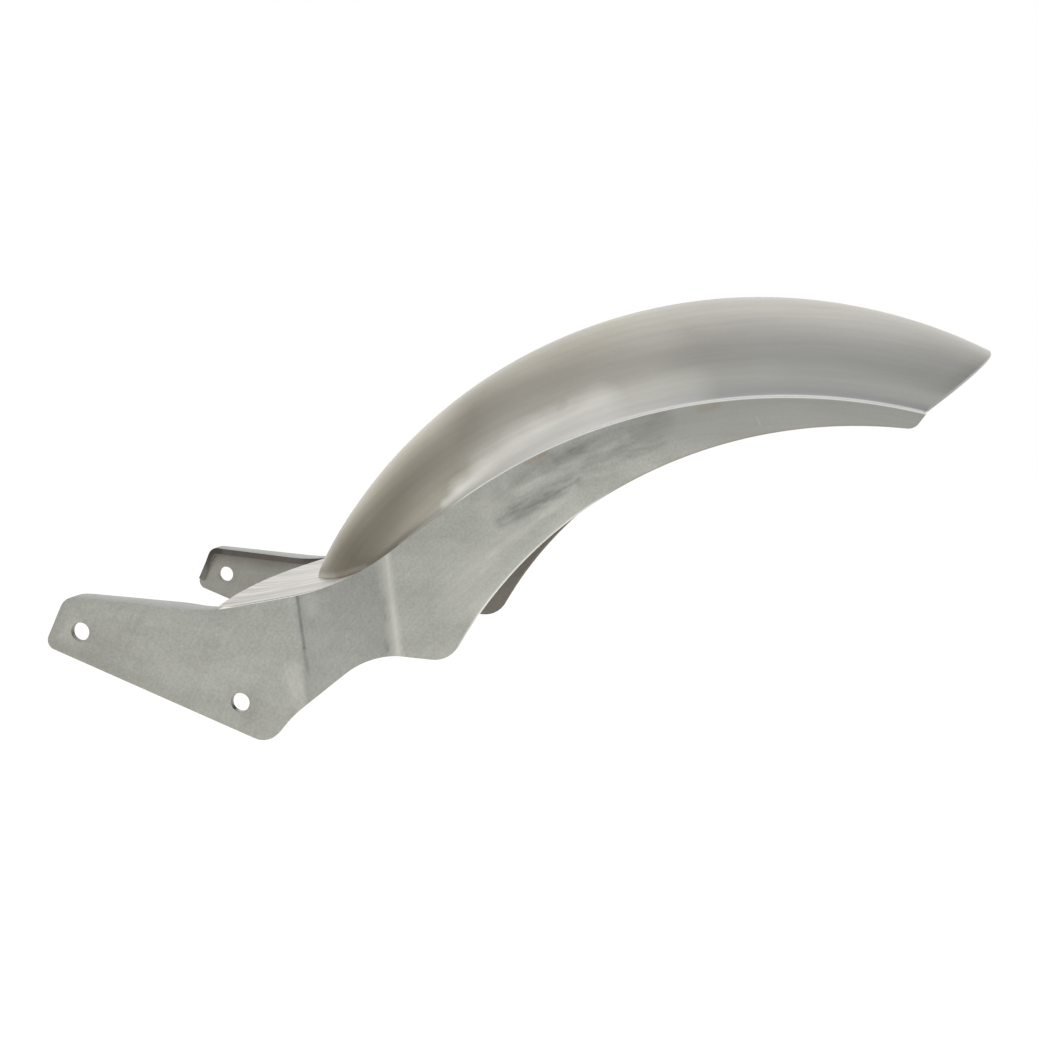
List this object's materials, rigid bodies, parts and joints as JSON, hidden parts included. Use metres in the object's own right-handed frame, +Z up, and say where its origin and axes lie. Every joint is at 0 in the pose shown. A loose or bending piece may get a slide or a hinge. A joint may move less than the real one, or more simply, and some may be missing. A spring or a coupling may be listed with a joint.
{
  "type": "motorcycle rear fender",
  "caption": "Welded sheet-steel rear fender: domed crown over two bent side plates with bolt-on ears, bridged in front by a flat shelf.",
  "frame": {"origin": "on the axis of the front bolt holes, in the middle plane between the two ears", "axes": "+X to the rear of the motorcycle, +Y to its right-hand side along the bolt axis, +Z up"},
  "size_m": [0.5193, 0.245, 0.2444],
  "materials": {
    "crown_steel": "raw pressed sheet, semi-matt",
    "plate_steel": "raw sheet, semi-matt, ground along the welds",
    "shelf_steel": "raw sheet, ground bright"
  },
  "bodies": {
    "root": {"crown": "crown_steel", "side_plate_left": "plate_steel", "side_plate_right": "plate_steel", "shelf": "shelf_steel"}
  },
  "joints": []
}
